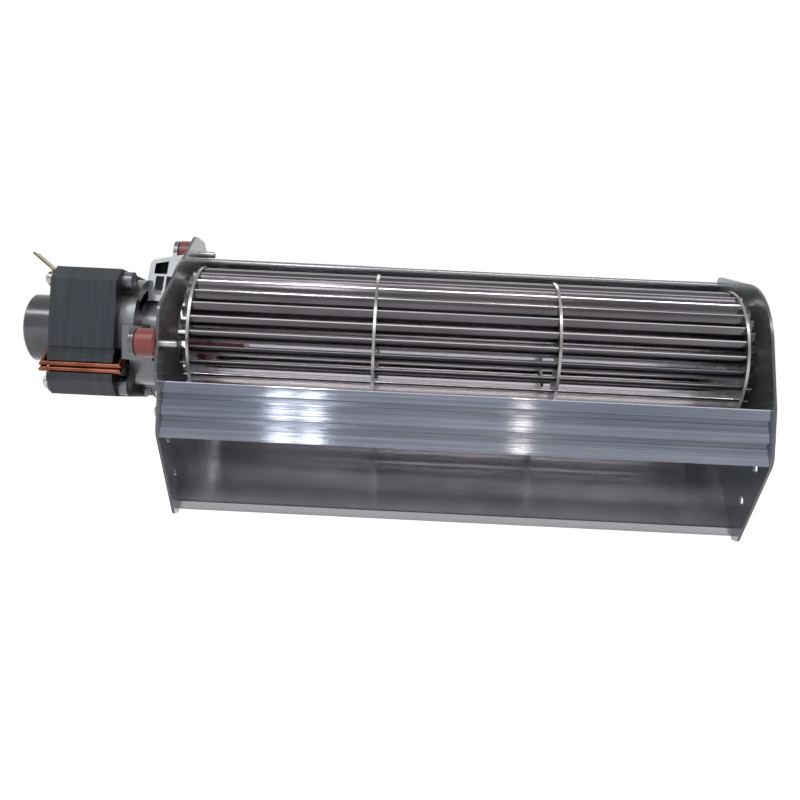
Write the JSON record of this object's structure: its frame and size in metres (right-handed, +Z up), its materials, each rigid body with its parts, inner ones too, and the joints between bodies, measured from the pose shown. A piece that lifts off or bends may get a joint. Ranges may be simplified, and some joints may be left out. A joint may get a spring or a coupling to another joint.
{
  "type": "cross flow fan",
  "caption": "Cross flow fan: a bladed drum turns in a sheet metal scroll casing and blows through a slot-shaped outlet, driven by an open shaded-pole motor on one end.",
  "frame": {"origin": "middle of the two fixing holes in the motor-side plate, on that plate's outer face", "axes": "+X along the shaft, from the motor towards the free end; +Y to the back of the casing; +Z up, with the front panel upright and the outlet facing down and forward"},
  "size_m": [0.3238, 0.1148, 0.1255],
  "materials": {
    "galvanised_plate": "galvanised sheet, dull grey-green",
    "casing_sheet": "galvanised sheet, smooth",
    "panel_aluminium": "extruded, brushed lengthwise",
    "zinc_screws": "bright zinc plated",
    "spring_steel": "blackened",
    "red_silicone": "matte silicone",
    "cast_zinc": "die cast, bead blasted",
    "bright_zinc": "deep drawn, zinc plated",
    "sintered_bronze": "oil-filled, dull",
    "lamination": "stamped laminations, blued",
    "copper": "bare copper",
    "moulded_black": "moulded",
    "winding_tape": "taped winding",
    "brass": "rolled brass",
    "black_rubber": "matte",
    "blade_aluminium": "mill finish",
    "disc_aluminium": "mill finish",
    "turned_steel": "turned",
    "cage_aluminium": "pressure cast",
    "fibre": "fibre washer"
  },
  "bodies": {
    "frame": {"left_side_plate": "galvanised_plate", "right_side_plate": "galvanised_plate", "scroll_casing": "casing_sheet", "front_panel": "panel_aluminium", "panel_screws": "zinc_screws", "motor_damper_1": "red_silicone", "motor_damper_2": "red_silicone", "motor_damper_3": "red_silicone", "mount_screws": "zinc_screws", "motor_bracket": "cast_zinc", "front_bush": "sintered_bronze", "stator_stack": "lamination", "coil_yoke": "lamination", "shading_rings": "copper", "coil_bobbin": "moulded_black", "coil_winding": "winding_tape", "coil_terminals": "brass", "rear_bracket": "bright_zinc", "rear_bush": "sintered_bronze", "motor_screws": "zinc_screws", "earth_tab": "brass", "end_grommet": "black_rubber", "end_bush": "sintered_bronze"},
    "rotor": {"impeller_blades": "blade_aluminium", "left_end_disc": "disc_aluminium", "right_end_disc": "disc_aluminium", "support_ring_1": "disc_aluminium", "support_ring_2": "disc_aluminium", "drive_hub": "red_silicone", "hub_sleeve": "turned_steel", "motor_shaft": "turned_steel", "rotor_core": "lamination", "rotor_end_rings": "cage_aluminium", "thrust_washers": "fibre", "stub_shaft": "turned_steel", "stub_rivets": "zinc_screws", "stub_clip": "spring_steel", "end_washer": "fibre"}
  },
  "joints": [
    {"name": "drum_spin", "type": "hinge", "parent": "frame", "child": "rotor", "pos_m": [0.12495, 0.0175, 0.05395], "axis": [1, 0, 0], "continuous": true}
  ]
}
